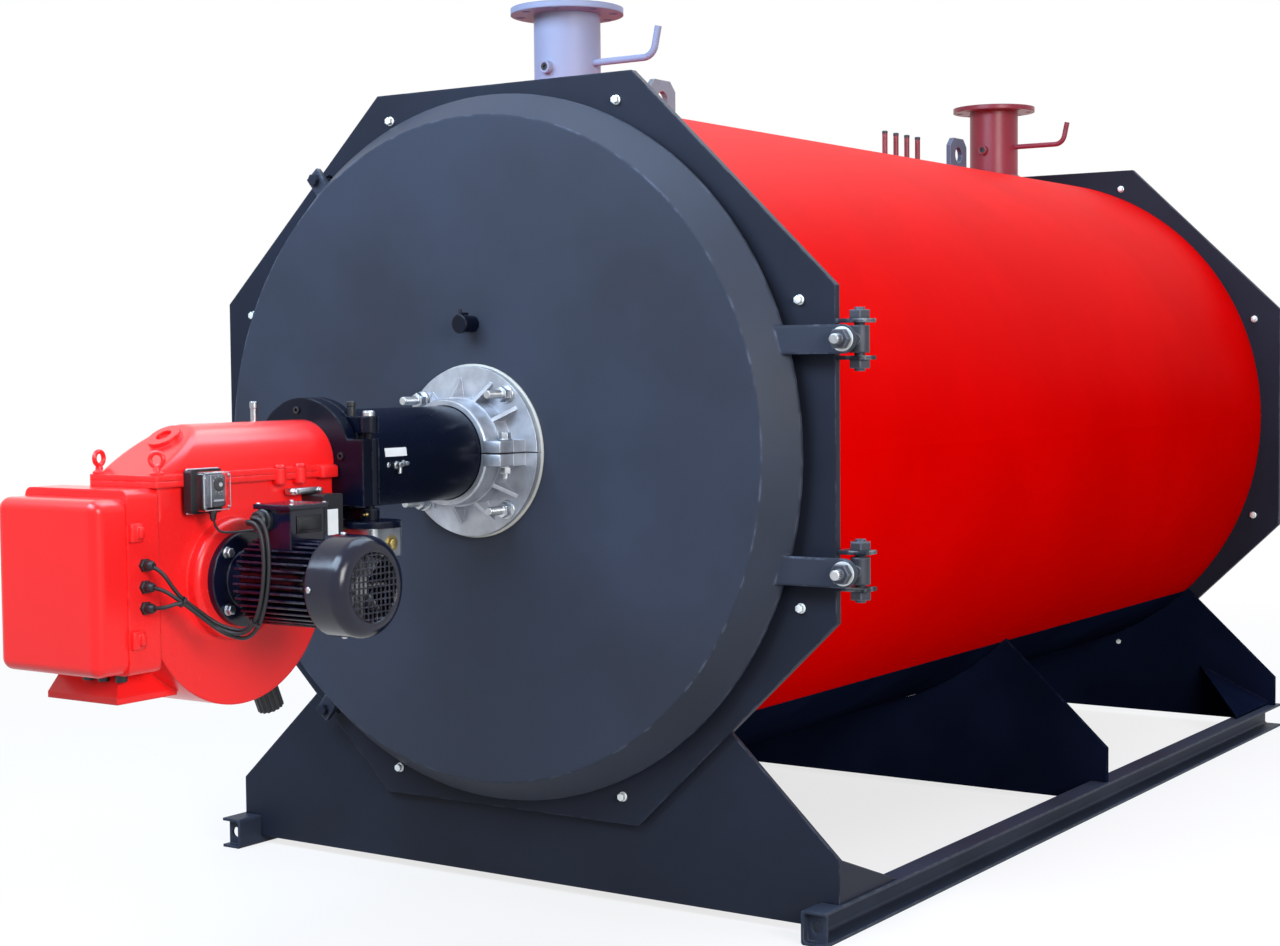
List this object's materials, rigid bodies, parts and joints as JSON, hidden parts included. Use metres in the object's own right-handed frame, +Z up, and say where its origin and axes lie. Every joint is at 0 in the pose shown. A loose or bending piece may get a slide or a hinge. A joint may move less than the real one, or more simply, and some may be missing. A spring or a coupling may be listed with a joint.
{
  "type": "industrial fire-tube boiler",
  "caption": "Horizontal fire-tube hot-water boiler on skid rails, with octagonal end plates, a hinged round front door and a swing-out forced-draught burner.",
  "frame": {"origin": "on the ground, at the centre of the bounding box's footprint", "axes": "+Z up, +Y from the burner towards the flue at the back, +X to the door's hinge side"},
  "size_m": [1.914, 4.762, 2.182],
  "materials": {
    "slate_paint": "satin enamel",
    "red_paint": "gloss enamel",
    "raw_steel": "dull rolled steel",
    "grey_primer": "matt pale primer",
    "red_primer": "matt dark red primer",
    "zinc_steel": "bright zinc plate",
    "refractory": "cast refractory, matt",
    "gasket_sheet": "pale fibre sheet, matt",
    "cast_aluminium": "as cast",
    "black_paint": "semi-gloss",
    "burner_red": "gloss enamel",
    "black_plastic": "fine texture",
    "clear_plastic": "clear moulded",
    "cable_sheath": "smooth sheath"
  },
  "bodies": {
    "boiler": {"front_plate": "slate_paint", "rear_plate": "slate_paint", "cladding": "red_paint", "belly_sheet": "slate_paint", "pressure_shell": "raw_steel", "front_tube_plate": "raw_steel", "furnace_tube": "raw_steel", "flue_outlet": "raw_steel", "front_support": "slate_paint", "mid_support": "slate_paint", "rear_support": "slate_paint", "left_rail": "slate_paint", "right_rail": "slate_paint", "supply_nozzle": "grey_primer", "return_nozzle": "red_primer", "sensor_stubs": "red_primer", "lifting_lugs": "slate_paint", "hinge_brackets": "slate_paint", "hinge_pins": "zinc_steel"},
    "door": {"front_door": "slate_paint", "door_lining": "refractory", "peep_stub": "black_paint", "eye_bolts": "zinc_steel", "closing_bolts": "zinc_steel", "mount_gasket": "gasket_sheet", "upper_mount_half": "cast_aluminium", "lower_mount_half": "cast_aluminium", "blast_tube": "black_paint", "hinge_post": "black_paint", "valve_disc": "black_paint", "gas_valve": "cast_aluminium"},
    "burner": {"swing_ring": "black_paint", "burner_housing": "burner_red", "top_cover": "burner_red", "control_box": "burner_red", "control_lid": "burner_red", "motor_body": "black_paint", "terminal_box": "black_paint", "motor_cowl": "black_paint", "servo_box": "black_plastic", "pressure_switch": "black_plastic", "switch_cover": "clear_plastic", "damper_knob": "black_plastic", "upper_lead": "cable_sheath", "middle_lead": "cable_sheath", "lower_lead": "cable_sheath", "switch_lead": "cable_sheath"}
  },
  "joints": [
    {"name": "door_hinge", "type": "hinge", "parent": "boiler", "child": "door", "pos_m": [0.93, -0.991, 1.082], "axis": [0, 0, 1], "range_deg": [0, 100]},
    {"name": "burner_hinge", "type": "hinge", "parent": "door", "child": "burner", "pos_m": [0.117, -1.681, 1.082], "axis": [0, 0, 1], "range_deg": [0, 80]}
  ]
}
